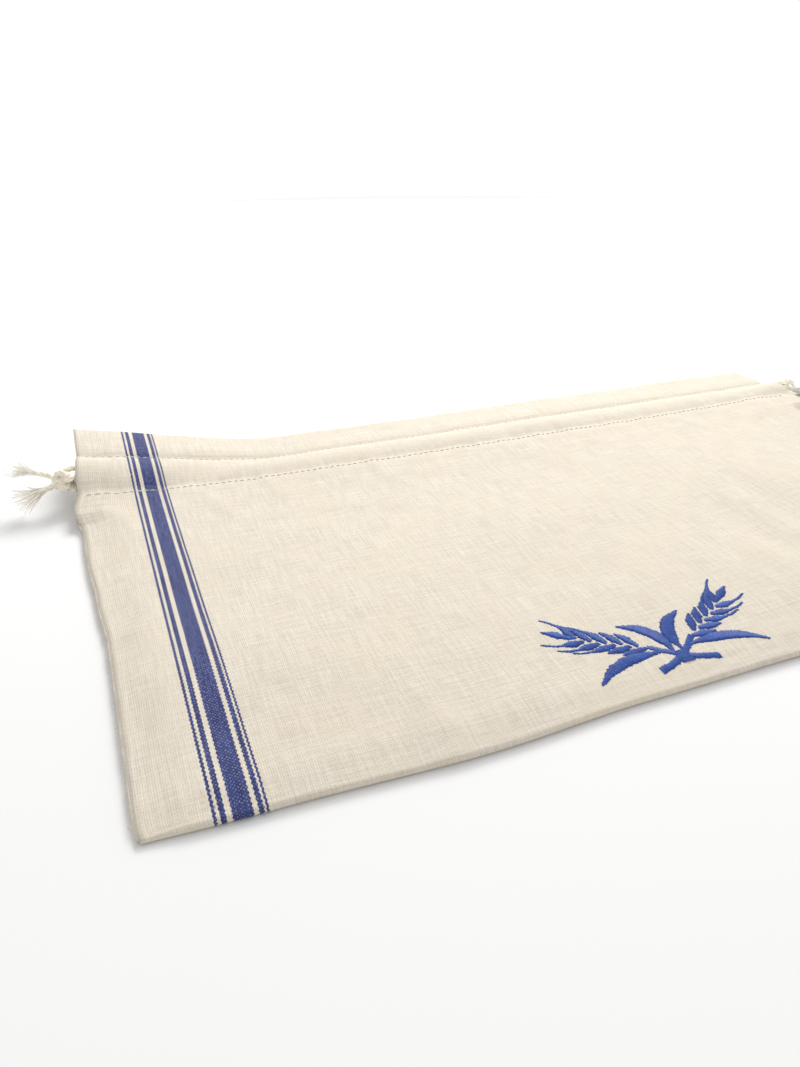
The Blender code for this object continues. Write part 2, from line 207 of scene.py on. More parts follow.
def unevenness(along, over, pitch_along, pitch_over, seed):
    """Soft random waviness between -1 and 1 on the cloth. It repeats after TABLE_SIDE pitches."""
    table = np.random.default_rng(seed).uniform(-1.0, 1.0, (TABLE_SIDE, TABLE_SIDE))
    place_a, place_o = np.broadcast_arrays(along / pitch_along, over / pitch_over)
    low_a, low_o = np.floor(place_a).astype(int), np.floor(place_o).astype(int)
    part_a, part_o = ease(place_a - low_a), ease(place_o - low_o)
    sides = []
    for row in (low_a % TABLE_SIDE, (low_a + 1) % TABLE_SIDE):
        first, second = table[row, low_o % TABLE_SIDE], table[row, (low_o + 1) % TABLE_SIDE]
        sides.append(first + part_o * (second - first))
    return sides[0] + part_a * (sides[1] - sides[0])


def wave_height(waves, along, over):
    return waves.high * unevenness(along, over, waves.pitch_along, waves.pitch_over, waves.seed)


# ---------------------------------------------------------------- the lie of the cloth


def place_x(across, from_fold):
    x = (across - 0.5) * BAG_WIDTH
    near_left = 1.0 - np.clip(across * BAG_WIDTH / SIDE_FADE, 0.0, 1.0)
    near_right = 1.0 - np.clip((1.0 - across) * BAG_WIDTH / SIDE_FADE, 0.0, 1.0)
    x = x - read_table(SIDES, from_fold, "left") * ease(near_left)
    return x + read_table(SIDES, from_fold, "right") * ease(near_right)


def place_y(across, from_fold):
    toward_fold = 1.0 - np.clip(from_fold / FOLD_REACH, None, 1.0)
    toward_mouth = ease((from_fold - SKEW_START) / (BAG_DEPTH - SKEW_START))
    skew = MOUTH_SKEW * bump(np.clip(across * BAG_WIDTH / LIFT_REACH, 0.0, 1.0)) * toward_mouth
    out = read_table(FOLD_LINE, across, "out") * toward_fold
    return from_fold - ORIGIN_FROM_FOLD + out + skew


def place_at(across, from_fold, z):
    return np.stack([place_x(across, from_fold), place_y(across, from_fold), z], -1)


def edge_distance(across):
    return np.clip(np.minimum(across, 1.0 - across), 0.0, None) * BAG_WIDTH


def tunnel_height(across, from_fold):
    share = np.clip((from_fold - TUNNEL_MIDDLE) / TUNNEL_HALF_WIDTH, -1.0, 1.0)
    pressed = ease(edge_distance(across) / TUNNEL_OPENS)
    height = TUNNEL_HEIGHT + (TUNNEL_HEIGHT_INSIDE - TUNNEL_HEIGHT) * pressed
    return height * (1.0 - share * share) ** 1.2


def corner_share(across, from_fold):
    """1 at the bag's left side, falling to 0 further in. The raised corner narrows toward the fold."""
    widening = ease((from_fold - SEAM_TOP) / LIFT_WIDENS)
    reach = LIFT_REACH_LOW + (LIFT_REACH - LIFT_REACH_LOW) * widening
    return (1.0 - np.clip(across * BAG_WIDTH / reach, 0.0, 1.0)) ** 1.5


def lift(across, from_fold):
    corner = corner_share(across, from_fold)
    return LIFT_HEIGHT * corner * ease((from_fold - LIFT_START) / (LIFT_FULL - LIFT_START))


def layer_gap(across, from_fold):
    gap = read_table(STATIONS, from_fold, "gap")
    for mound in MOUNDS:
        along_x = bump((across * BAG_WIDTH - mound.across) / mound.reach_x)
        gap = gap + mound.height * along_x * bump((from_fold - mound.from_fold) / mound.reach_y)
    closed = SIDE_CLOSED + (1.0 - SIDE_CLOSED) * ease(edge_distance(across) / SIDE_TAPER)
    gap = np.where(from_fold < SEAM_TOP, gap * closed, gap)
    gape = corner_share(across, from_fold)
    return gap + GAPE_HEIGHT * gape * ease((from_fold - GAPE_START) / (GAPE_FULL - GAPE_START))


def stitch_dips(across, from_fold):
    """How far the two lines of stitches draw the cloth in, most where the needle went through."""
    holes = 0.62 + 0.38 * np.cos(2.0 * np.pi * across * BAG_WIDTH / STITCH_PITCH)
    depth = 0.0
    for line in (UPPER_STITCHES, LOWER_STITCHES):
        depth = depth + holes * np.exp(-(((from_fold - line) / STITCH_PULL_REACH) ** 2))
    return STITCH_PULL * depth


def crumple(across, from_fold):
    """The front layer's small unevenness: slack, creases, the gathers of the drawstring tunnels."""
    u, v = across * BAG_WIDTH, from_fold
    body = ease((v - 0.003) / 0.012)
    rise = MM * sum(wave_height(waves, u, v) for waves in SLACK) * body
    for crease in CREASES:
        x1, y1, x2, y2 = (value * MM for value in crease[:4])
        long_sq = (x2 - x1) ** 2 + (y2 - y1) ** 2
        share = np.clip(((u - x1) * (x2 - x1) + (v - y1) * (y2 - y1)) / long_sq, 0.0, 1.0)
        away = np.hypot(u - x1 - share * (x2 - x1), v - y1 - share * (y2 - y1))
        fade = np.sin(np.pi * (0.12 + 0.76 * share)) ** 0.6
        rise = rise + crease.high * MM * fade * np.exp(-((away / (crease.wide * MM)) ** 2)) * body
    near_lower = np.exp(-np.abs(v - LOWER_STITCHES) / np.where(v < LOWER_STITCHES, 0.0105, 0.006))
    near_upper = np.exp(-np.abs(v - UPPER_STITCHES) / np.where(v > UPPER_STITCHES, 0.009, 0.005))
    in_tunnel = bump((v - TUNNEL_MIDDLE) / 0.0135)
    in_header = ease((v - UPPER_STITCHES) / 0.020)
    gathers = wave_height(LOWER_GATHERS, u, v) * near_lower
    gathers = gathers + wave_height(UPPER_GATHERS, u, v) * near_upper
    gathers = gathers + wave_height(TUNNEL_GATHERS, u, v) * in_tunnel
    gathers = gathers + wave_height(HEADER_WAVES, u, v) * in_header
    off_seam = np.where(v < SEAM_TOP, ease(edge_distance(across) / SEAM_FLAT), 1.0)
    return (rise + MM * gathers) * off_seam


def front_levels(across, from_fold):
    """Z of the front layer's top and of its lowest side."""
    thick = read_table(STATIONS, from_fold, "thick") + tunnel_height(across, from_fold)
    back_top = lift(across, from_fold) + thick
    under = back_top + layer_gap(across, from_fold)
    rise = crumple(across, from_fold)
    sunk = FOLD_SINK * (1.0 - ease((from_fold - 0.001) / 0.012)) + LAYER_SINK * ease(from_fold / 0.02)
    return under + thick + rise - sunk - stitch_dips(across, from_fold), under + rise


def back_levels(across, from_fold):
    """Z of the back layer's underside and of its top side."""
    thick = read_table(STATIONS, from_fold, "thick") + tunnel_height(across, from_fold)
    under = lift(across, from_fold)
    return under + STITCH_PULL_BACK * stitch_dips(across, from_fold), under + thick


def on_front(across, from_fold, above=0.0):
    """Points on the front layer's top."""
    across, from_fold = np.broadcast_arrays(np.asarray(across, float), np.asarray(from_fold, float))
    top, _ = front_levels(across, from_fold)
    return place_at(across, from_fold, top + above)


COLUMN_PITCH = 0.0021
FOLD_START = 0.002  # where the round of the bottom fold meets both layers


def cloth_strip():
    """The whole length of cloth as rows of points on its right side and its wrong side, with each row's
    distance along the cloth: back hem, back mouth, back layer, bottom fold, front layer, mouth, hem."""
    across = np.linspace(0.0, 1.0, int(BAG_WIDTH / COLUMN_PITCH) + 1)
    mouth = BAG_DEPTH - MOUTH_ROUND
    body_end, casing_end = SEAM_TOP - 0.001, mouth - 0.0005
    hem_edge = np.arange(HEM_END, LOWER_STITCHES + 0.004, 0.0012)
    hem = np.concatenate([hem_edge, np.linspace(0.214, mouth, 14)])
    casing = np.arange(SEAM_TOP, casing_end, 0.00135)
    body_front = np.concatenate([[FOLD_START, 0.005, 0.0085, 0.0125], np.arange(0.0165, body_end, 0.0036)])
    body_back = np.concatenate([[FOLD_START, 0.006], np.arange(0.014, body_end, 0.009)])
    casing_back = np.arange(SEAM_TOP, casing_end, 0.0024)
    right, wrong, places = [], [], []

    def add(row, right_z, wrong_z, place):
        right.append(place_at(across, row, right_z))
        wrong.append(place_at(across, row, wrong_z))
        places.append(place)

    def turn_over(x, y, low, high, steps, way, length):
        """Half round over an edge: way 1 is the mouth, from high to low, -1 the fold, from low to high."""
        middle, outer = 0.5 * (low + high), 0.5 * (high - low)
        for turn in np.pi * np.arange(1, steps) / steps:
            for rows, reach in ((right, outer), (wrong, outer - CLOTH)):
                z = middle + way * reach * np.cos(turn)
                rows.append(np.stack([x, y + way * reach * np.sin(turn), z], -1))
            places.append(places[-1] + length)

    for row in hem:
        _, top = back_levels(across, row)
        add(row, top, top - CLOTH, row)
    mouth_x, mouth_y = place_x(across, mouth), place_y(across, mouth)
    turn_over(mouth_x, mouth_y, *back_levels(across, mouth), 5, 1, 0.0006)
    start = places[-1] + mouth
    for row in np.concatenate([[mouth], casing_back[::-1], body_back[::-1]]):
        under, _ = back_levels(across, row)
        add(row, under, under + CLOTH, start - row)
    under, _ = back_levels(across, FOLD_START)
    top, _ = front_levels(across, FOLD_START)
    turn_over(place_x(across, 0.0), place_y(across, FOLD_START), under, top, 8, -1, 0.0008)
    start = places[-1]
    for row in np.concatenate([body_front, casing, [mouth]]):
        top, _ = front_levels(across, row)
        add(row, top, top - CLOTH, start + row)
    high, low = front_levels(across, mouth)
    turn_over(mouth_x, mouth_y, low, high, 5, 1, 0.0006)
    start = places[-1] + mouth
    for row in hem[::-1]:
        _, under = front_levels(across, row)
        add(row, under, under + CLOTH, start - row)
    return across, np.array(right), np.array(wrong), np.array(places)


# ---------------------------------------------------------------- making meshes

PLACES = "cloth"  # the name under which a mesh keeps the distances that its material reads


def grid_quads(rows, columns, first=0, flip=False):
    index = first + np.arange(rows * columns).reshape(rows, columns)
    quads = np.stack([index[:-1, :-1], index[:-1, 1:], index[1:, 1:], index[1:, :-1]], -1).reshape(-1, 4)
    return quads[:, ::-1] if flip else quads


def add_object(name, data):
    made = bpy.data.objects.new(name, data)
    bpy.context.scene.collection.objects.link(made)
    return made


def make_piece(name, shape, material):
    """A smooth piece of the bag from a shape: its points, its faces, and each point's distances across and
    along its cloth or thread."""
    points, faces, places = shape
    mesh = bpy.data.meshes.new(name)
    mesh.from_pydata(points.tolist(), [], [list(face) for face in faces])
    layer = mesh.uv_layers.new(name=PLACES)
    corners = np.empty(len(mesh.loops), np.int32)
    mesh.loops.foreach_get("vertex_index", corners)
    layer.data.foreach_set("uv", np.asarray(places, np.float32)[corners].ravel())
    mesh.materials.append(material)
    mesh.shade_smooth()
    made = add_object(name, mesh)
    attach(made, "root")
    return made


def tubes(lines, radii, sides):
    """Round tubes along many lines of the same number of points: their points, faces and places."""
    lines = np.asarray(lines, float)
    count, steps, _ = lines.shape
    radii = np.broadcast_to(np.asarray(radii, float), (count, steps))
    tangent = np.gradient(lines, axis=1)
    tangent /= np.linalg.norm(tangent, axis=2, keepdims=True) + 1e-12
    up = np.where(np.abs(tangent[:, :1, 2:3]) > 0.9, [[[1.0, 0.0, 0.0]]], [[[0.0, 0.0, 1.0]]])
    normal = np.empty_like(lines)
    carried = up[:, 0]
    for step in range(steps):
        along = tangent[:, step]
        carried = carried - along * (carried * along).sum(1, keepdims=True)
        carried = carried / (np.linalg.norm(carried, axis=1, keepdims=True) + 1e-12)
        normal[:, step] = carried
    other = np.cross(tangent, normal)
    turn = 2.0 * np.pi * np.arange(sides) / sides
    ring = normal[:, :, None] * np.cos(turn)[:, None] + other[:, :, None] * np.sin(turn)[:, None]
    points = lines[:, :, None] + ring * radii[:, :, None, None]
    index = np.arange(count * steps * sides).reshape(count, steps, sides)
    following = np.roll(index, -1, axis=2)
    quads = np.stack([index[:, :-1], following[:, :-1], following[:, 1:], index[:, 1:]], -1).reshape(-1, 4)
    caps = np.concatenate([index[:, 0, ::-1], index[:, -1]])
    length = np.concatenate(
        [np.zeros((count, 1)), np.cumsum(np.linalg.norm(np.diff(lines, axis=1), axis=2), axis=1)], axis=1
    )
    around = np.broadcast_to(np.abs(turn - np.pi) / np.pi * MM, (count, steps, sides))
    places = np.stack([around, np.broadcast_to(length[:, :, None], (count, steps, sides))], -1)
    return points.reshape(-1, 3), list(quads) + list(caps), places.reshape(-1, 2)


def join_shapes(shapes):
    points, faces, places, first = [], [], [], 0
    for shape_points, shape_faces, shape_places in shapes:
        points.append(shape_points)
        faces += [np.asarray(face) + first for face in shape_faces]
        places.append(shape_places)
        first += len(shape_points)
    return np.concatenate(points), faces, np.concatenate(places)


def spline(points, count):
    """A smooth curve through a few points, as evenly spaced points."""
    points = np.asarray(points, float)
    ends = np.concatenate([[2 * points[0] - points[1]], points, [2 * points[-1] - points[-2]]])
    fine = []
    for a, b, c, d in zip(ends, ends[1:], ends[2:], ends[3:]):
        t = np.linspace(0.0, 1.0, 16, endpoint=False)[:, None]
        bend = (2 * a - 5 * b + 4 * c - d) * t**2 + (3 * b - a - 3 * c + d) * t**3
        fine.append(0.5 * (2 * b + (c - a) * t + bend))
    fine = np.concatenate(fine + [points[-1:]])
    return respaced(fine, count)


def respaced(line, count):
    along = distances(line)
    wanted = np.linspace(0.0, along[-1], count)
    return np.stack([np.interp(wanted, along, line[:, axis]) for axis in range(line.shape[1])], -1)


def distances(line):
    """How far along a line each of its points lies."""
    return np.concatenate([[0.0], np.cumsum(np.linalg.norm(np.diff(line, axis=0), axis=1))])


def line_length(line):
    return float(np.linalg.norm(np.diff(line, axis=0), axis=1).sum())


def headings(line):
    ahead = np.gradient(line, axis=0)
    return ahead / np.linalg.norm(ahead, axis=1)[:, None]


def carried_along(ahead, first):
    """A direction square to a line at each of its points, carried along it without a twist."""
    carried, square = first, np.empty_like(ahead)
    for step, way in enumerate(ahead):
        carried = carried - way * np.dot(carried, way)
        carried = carried / np.linalg.norm(carried)
        square[step] = carried
    return square


# ---------------------------------------------------------------- materials

MIX_SOCKETS = (0, 6, 7)  # a colour mix node's share and its two colours


def shader_node(tree, kind, **settings):
    node = tree.nodes.new(kind)
    for key, value in settings.items():
        setattr(node, key, value)
    return node


def feed(tree, sockets, values):
    """Sets each socket to its value, or links it where the value is another node's socket."""
    for socket, value in zip(sockets, values):
        if isinstance(value, bpy.types.NodeSocket):
            tree.links.new(value, socket)
        else:
            socket.default_value = value


def maths(tree, operation, *values):
    node = shader_node(tree, "ShaderNodeMath", operation=operation)
    feed(tree, node.inputs, values)
    return node.outputs[0]


def vector_maths(tree, operation, *values):
    node = shader_node(tree, "ShaderNodeVectorMath", operation=operation)
    feed(tree, node.inputs, values)
    return node.outputs[0]


def blend_colour(tree, share, first, second, blend_type="MIX"):
    node = shader_node(tree, "ShaderNodeMix", data_type="RGBA", blend_type=blend_type)
    feed(tree, [node.inputs[number] for number in MIX_SOCKETS], (share, first, second))
    return node.outputs[2]


def noise_at(tree, place, scale, detail=2.0, roughness=0.5, output="Fac"):
    node = shader_node(tree, "ShaderNodeTexNoise")
    sockets = [node.inputs[name] for name in ("Vector", "Scale", "Detail", "Roughness")]
    feed(tree, sockets, (place, scale, detail, roughness))
    return node.outputs[output]


def stretched(tree, place, x, y):
    return vector_maths(tree, "MULTIPLY", place, (x, y, 1.0))


def split_place(tree, place):
    split = shader_node(tree, "ShaderNodeSeparateXYZ")
    tree.links.new(place, split.inputs[0])
    return split.outputs


def remap(tree, value, low, high, to_low=0.0, to_high=1.0):
    node = shader_node(tree, "ShaderNodeMapRange", interpolation_type="SMOOTHSTEP")
    feed(tree, node.inputs, (value, low, high, to_low, to_high))
    return node.outputs[0]


def srgb(red, green, blue):
    """Linear colour from the usual 0 to 255 numbers."""
    values = [value / 255.0 for value in (red, green, blue)]
    return (*(v / 12.92 if v <= 0.04045 else ((v + 0.055) / 1.055) ** 2.4 for v in values), 1.0)


def new_group(name, inputs, outputs):
    """A node group with named sockets: (name, kind) or (name, kind, default)."""
    tree = bpy.data.node_groups.new(name, "ShaderNodeTree")
    for direction, sockets in (("INPUT", inputs), ("OUTPUT", outputs)):
        for socket in sockets:
            made = tree.interface.new_socket(socket[0], in_out=direction, socket_type=socket[1])
            if len(socket) > 2:
                made.default_value = socket[2]
    return tree, tree.nodes.new("NodeGroupInput").outputs, tree.nodes.new("NodeGroupOutput").inputs


def weave_group():
    """Plain weave of warp along the cloth and weft across it, in millimetres of cloth."""
    tree, given, out = new_group(
        "plain_weave",
        [
            ("Place", "NodeSocketVector"),
            ("Warp Pitch", "NodeSocketFloat", 0.74),
            ("Weft Pitch", "NodeSocketFloat", 0.68),
            ("Waver", "NodeSocketFloat", 0.55),
        ],
        [("Height", "NodeSocketFloat"), ("Weft Shows", "NodeSocketFloat"), ("Gaps", "NodeSocketFloat")],
    )
    waver = noise_at(tree, stretched(tree, given["Place"], 0.35, 0.35), 1.0, output="Color")
    centred = vector_maths(tree, "SUBTRACT", waver, (0.5, 0.5, 0.5))
    scaled = shader_node(tree, "ShaderNodeVectorMath", operation="SCALE")
    feed(tree, (scaled.inputs[0], scaled.inputs["Scale"]), (centred, given["Waver"]))
    across, along, _ = split_place(tree, vector_maths(tree, "ADD", given["Place"], scaled.outputs[0]))
    warp_turn = maths(tree, "MULTIPLY", maths(tree, "DIVIDE", across, given["Warp Pitch"]), math.pi)
    weft_turn = maths(tree, "MULTIPLY", maths(tree, "DIVIDE", along, given["Weft Pitch"]), math.pi)
    warp = maths(tree, "ABSOLUTE", maths(tree, "SINE", warp_turn))
    weft = maths(tree, "ABSOLUTE", maths(tree, "SINE", weft_turn))
    crossing = maths(tree, "MULTIPLY", maths(tree, "COSINE", warp_turn), maths(tree, "COSINE", weft_turn))
    weft_over = maths(tree, "MULTIPLY_ADD", crossing, 0.5, 0.5)
    warp_over = maths(tree, "SUBTRACT", 1.0, weft_over)
    warp_height = maths(tree, "MULTIPLY", warp, maths(tree, "MULTIPLY_ADD", warp_over, 0.62, 0.38))
    weft_height = maths(tree, "MULTIPLY", weft, maths(tree, "MULTIPLY_ADD", weft_over, 0.62, 0.38))
    height = maths(tree, "MAXIMUM", warp_height, weft_height)
    tree.links.new(height, out["Height"])
    tree.links.new(maths(tree, "MULTIPLY", remap(tree, weft_over, 0.55, 0.9), weft), out["Weft Shows"])
    tree.links.new(remap(tree, height, 0.50, 0.18), out["Gaps"])
    return tree


def yarn_group():
    """Uneven yarns: light and dark streaks along the threads, thick places and small flecks of husk."""
    tree, given, out = new_group(
        "uneven_yarn",
        [("Place", "NodeSocketVector"), ("Fleck Share", "NodeSocketFloat", 0.5)],
        [
            ("Warp Tone", "NodeSocketFloat"),
            ("Weft Tone", "NodeSocketFloat"),
            ("Slubs", "NodeSocketFloat"),
            ("Flecks", "NodeSocketFloat"),
            ("Cloud", "NodeSocketFloat"),
            ("Fine", "NodeSocketFloat"),
        ],
    )
    place = given["Place"]
    tree.links.new(noise_at(tree, stretched(tree, place, 1.05, 0.06), 1.0, 1.0), out["Warp Tone"])
    tree.links.new(noise_at(tree, stretched(tree, place, 0.07, 1.25), 1.0, 1.0), out["Weft Tone"])
    slub = noise_at(tree, stretched(tree, place, 0.085, 1.15), 1.0, 1.0)
    tree.links.new(remap(tree, slub, 0.66, 0.80), out["Slubs"])
    fleck = noise_at(tree, stretched(tree, place, 0.75, 1.9), 1.0, 2.0, 0.6)
    edge = maths(tree, "MULTIPLY_ADD", given["Fleck Share"], -0.10, 0.76)
    tree.links.new(remap(tree, maths(tree, "SUBTRACT", fleck, edge), 0.0, 0.05), out["Flecks"])
    tree.links.new(noise_at(tree, place, 0.035, 3.0), out["Cloud"])
    tree.links.new(noise_at(tree, stretched(tree, place, 0.75, 0.7), 1.0, 2.0, 0.6), out["Fine"])
    return tree


def twist_group():
    """Fine fibres twisted round a thread, in millimetres along and round it."""
    tree, given, out = new_group(
        "twisted_fibres",
        [("Place", "NodeSocketVector"), ("Per Millimetre", "NodeSocketFloat", 2.0)],
        [("Height", "NodeSocketFloat"), ("Tone", "NodeSocketFloat")],
    )
    around, along, _ = split_place(tree, given["Place"])
    lay = maths(tree, "MULTIPLY_ADD", along, given["Per Millimetre"], maths(tree, "MULTIPLY", around, 2.0))
    wave = maths(tree, "ABSOLUTE", maths(tree, "SINE", maths(tree, "MULTIPLY", lay, math.pi)))
    rough = noise_at(tree, given["Place"], 3.0, 3.0, 0.6)
    tree.links.new(maths(tree, "MULTIPLY_ADD", rough, 0.8, wave), out["Height"])
    tree.links.new(noise_at(tree, stretched(tree, given["Place"], 1.0, 0.35), 1.0, 2.0), out["Tone"])
    return tree


def use_group(tree, group, place, **values):
    node = shader_node(tree, "ShaderNodeGroup", node_tree=group)
    tree.links.new(place, node.inputs["Place"])
    for key, value in values.items():
        node.inputs[key.replace("_", " ")].default_value = value
    return node.outputs


def start_material(name, roughness, specular):
    material = bpy.data.materials.new(name)
    material.use_nodes = True
    shader = material.node_tree.nodes["Principled BSDF"]
    shader.inputs["Roughness"].default_value = roughness
    shader.inputs["Specular IOR Level"].default_value = specular
    return material, material.node_tree, shader


def start_textile(name, roughness, sheen, specular):
    """A material that reads the places of its piece's points, here as millimetres."""
    material, tree, shader = start_material(name, roughness, specular)
    shader.inputs["Sheen Weight"].default_value = sheen
    shader.inputs["Sheen Roughness"].default_value = 0.5
    where = shader_node(tree, "ShaderNodeUVMap", uv_map=PLACES)
    return material, tree, shader, stretched(tree, where.outputs[0], 1.0 / MM, 1.0 / MM)


def add_bump(tree, shader, height, strength, distance):
    node = shader_node(tree, "ShaderNodeBump")
    sockets = [node.inputs[name] for name in ("Strength", "Distance", "Height")]
    feed(tree, sockets, (strength, distance, height))
    tree.links.new(node.outputs[0], shader.inputs["Normal"])


# Shares of the stripe's width where each band of blue warp starts and ends.
StripeBand = namedtuple("StripeBand", "start end")
STRIPE_BANDS = (
    StripeBand(0.000, 0.062),
    StripeBand(0.124, 0.232),
    StripeBand(0.340, 0.722),
    StripeBand(0.812, 0.912),
    StripeBand(0.952, 1.000),
)
BAND_SOFT = 0.008
TOOTH_DEPTH, TOOTH_STRAY = 0.14, 0.35  # millimetres


def stripe_mask(tree, place):
    """1 on the blue warp of the stripe. Its edges step from thread to thread."""
    across, along, _ = split_place(tree, place)
    steps = maths(tree, "SINE", maths(tree, "MULTIPLY", along, 2.0 * math.pi / TOOTH_PITCH))
    ragged = maths(tree, "MULTIPLY_ADD", steps, TOOTH_DEPTH, across)
    stray = maths(tree, "SUBTRACT", noise_at(tree, place, 0.9, 1.0), 0.5)
    ragged = maths(tree, "MULTIPLY_ADD", stray, TOOTH_STRAY, ragged)
    share = maths(tree, "DIVIDE", maths(tree, "SUBTRACT", ragged, STRIPE_FROM), STRIPE_WIDE)
    mask = 0.0
    for band in STRIPE_BANDS:
        rise = remap(tree, share, band.start - BAND_SOFT, band.start + BAND_SOFT)
        fall = remap(tree, share, band.end + BAND_SOFT, band.end - BAND_SOFT)
        mask = maths(tree, "MULTIPLY_ADD", rise, fall, mask)
    return mask


def half_linen():
    """Cream half-linen with its blue warp stripe, and painted shade in the gaps of its weave."""
    material, tree, shader, place = start_textile("half_linen", 0.88, 0.12, 0.25)
    weave = use_group(tree, PLAIN_WEAVE, place)
    yarn = use_group(tree, UNEVEN_YARN, place)
    cream = blend_colour(tree, remap(tree, yarn["Warp Tone"], 0.25, 0.75), CREAM_DARK, CREAM_LIGHT)
    other = blend_colour(tree, remap(tree, yarn["Weft Tone"], 0.25, 0.75), CREAM_DARK, CREAM_LIGHT)
    cream = blend_colour(tree, 0.5, cream, other)
    cream = blend_colour(tree, remap(tree, yarn["Cloud"], 0.35, 0.65, 0.0, 0.35), cream, CREAM_WARM)
    cream = blend_colour(tree, maths(tree, "MULTIPLY", yarn["Slubs"], 0.45), cream, CREAM_SLUB)
    cream = blend_colour(tree, maths(tree, "MULTIPLY", yarn["Flecks"], 0.50), cream, HUSK)
    blue = blend_colour(tree, remap(tree, yarn["Warp Tone"], 0.3, 0.7), BLUE_DARK, BLUE_LIGHT)
    pale = maths(tree, "MULTIPLY", weave["Weft Shows"], remap(tree, yarn["Fine"], 0.40, 0.60, 0.05, 0.95))
    blue = blend_colour(tree, pale, blue, BLUE_WEFT)
    colour = blend_colour(tree, stripe_mask(tree, place), cream, blue)
    # painted shade: the gaps between the threads are multiplied toward SHADE, more in some places than
    # others
    painted_gap_shade = maths(tree, "MULTIPLY", weave["Gaps"], remap(tree, yarn["Fine"], 0.35, 0.65, 0.15, 0.70))
    colour = blend_colour(tree, painted_gap_shade, colour, SHADE, "MULTIPLY")
    tree.links.new(colour, shader.inputs["Base Color"])
    height = maths(tree, "MULTIPLY_ADD", yarn["Slubs"], 0.5, weave["Height"])
    height = maths(tree, "MULTIPLY_ADD", yarn["Fine"], 0.5, height)
    add_bump(tree, shader, height, 0.6, 0.00022)
    return material


def spun_thread(name, dark, light, roughness, sheen, specular, per_mm, bump_mm, shade=0.35):
    """A spun thread or cord: fibres twisted round it, lighter and darker along its length, with painted
    shade in the hollows between the fibres.
    """
    material, tree, shader, place = start_textile(name, roughness, sheen, specular)
    fibres = use_group(tree, TWISTED_FIBRES, place, Per_Millimetre=per_mm)
    colour = blend_colour(tree, remap(tree, fibres["Tone"], 0.3, 0.7), srgb(*dark), srgb(*light))
    # painted shade: the hollows between the fibres are multiplied toward SHADE, up to the share given by
    # shade
    painted_hollow_shade = remap(tree, fibres["Height"], 0.75, 0.25, 0.0, shade)
    colour = blend_colour(tree, painted_hollow_shade, colour, SHADE, "MULTIPLY")
    tree.links.new(colour, shader.inputs["Base Color"])
    add_bump(tree, shader, fibres["Height"], 0.5, bump_mm * MM)
    return material


def pale_paper():
    """Smooth pale paper with the faintest cloudiness, and painted light: paler further out, where the lamp's
    light falls off.
    """
    material, tree, shader = start_material("pale_paper", 0.85, 0.1)
    where = shader_node(tree, "ShaderNodeTexCoord").outputs["Object"]
    paper = blend_colour(tree, noise_at(tree, where, 1.5), PAPER_DARK, PAPER_LIGHT)
    away = shader_node(tree, "ShaderNodeVectorMath", operation="LENGTH")
    tree.links.new(where, away.inputs[0])
    # painted light: the paper grows paler further out, making up for the lamp's light falling off there
    far = remap(tree, away.outputs["Value"], PAPER_NEAR, PAPER_FAR)
    paper = blend_colour(tree, far, paper, PAPER_PAINTED_LIGHT)
    tree.links.new(paper, shader.inputs["Base Color"])
    return material


CREAM_DARK = srgb(203, 193, 177)
CREAM_LIGHT = srgb(226, 218, 204)
CREAM_WARM = srgb(218, 206, 186)
CREAM_SLUB = srgb(231, 226, 214)
HUSK = srgb(134, 119, 100)
# painted shade: the colour multiplied into the gaps of the weave and the hollows between a thread's fibres
SHADE = srgb(160, 149, 132)
BLUE_DARK = srgb(37, 45, 98)
BLUE_LIGHT = srgb(56, 66, 122)
BLUE_WEFT = srgb(190, 194, 213)

PAPER_DARK, PAPER_LIGHT = (0.775, 0.773, 0.770, 1.0), (0.795, 0.793, 0.790, 1.0)
PAPER_PAINTED_LIGHT = (0.97, 0.97, 0.968, 1.0)
PAPER_NEAR, PAPER_FAR = 0.30, 0.85  # between these distances the paper is painted paler, as painted light where the lamp's light falls off

PLAIN_WEAVE = weave_group()
UNEVEN_YARN = yarn_group()
TWISTED_FIBRES = twist_group()
LINEN = half_linen()
# Each thread: its dark and light tone, roughness, sheen, specular level, twists in a millimetre, height of
# its fibres in millimetres, and how far the hollows between them are shaded.
COTTON = spun_thread("cotton_cord", (238, 229, 209), (253, 247, 233), 0.92, 0.25, 0.2, 1.1, 0.12, 0.25)
# painted light: the frayed ends use a lighter copy of the cord's cotton, with almost no painted shade, to
# offset the shade among their loose fibres
FRAYED_PAINTED_LIGHT = spun_thread("frayed_cotton_painted_light", (249, 243, 229), (255, 252, 243), 0.9, 0.6, 0.2, 1.1, 0.05, 0.05)
SEWING = spun_thread("sewing_thread", (226, 218, 202), (246, 241, 230), 0.75, 0.1, 0.3, 2.4, 0.05)
SATIN = spun_thread("embroidery_thread", (16, 54, 132), (38, 88, 178), 0.42, 0.03, 0.42, 1.6, 0.03)

# ---------------------------------------------------------------- camera

VIEW_PLACE = (-0.2001, -0.3051, 0.1858)
VIEW_DOWN, VIEW_TURN = 29.06, 21.15  # degrees below the level, and from +Y toward +X
FRAME_HEIGHT = 1067.0
VIEW_REACH = 835.0  # the lens's length, where the frame is FRAME_HEIGHT high
SENSOR_HEIGHT = 36.0


def add_camera():
    data = bpy.data.cameras.new("camera")
    data.sensor_fit = "VERTICAL"
    data.sensor_height = SENSOR_HEIGHT
    data.lens = SENSOR_HEIGHT * VIEW_REACH / FRAME_HEIGHT
    data.clip_start = 0.01
    camera = add_object("camera", data)
    camera.location = VIEW_PLACE
    camera.rotation_euler = (math.radians(90.0 - VIEW_DOWN), 0.0, math.radians(-VIEW_TURN))
    bpy.context.scene.camera = camera


add_camera()

# ---------------------------------------------------------------- drawstrings

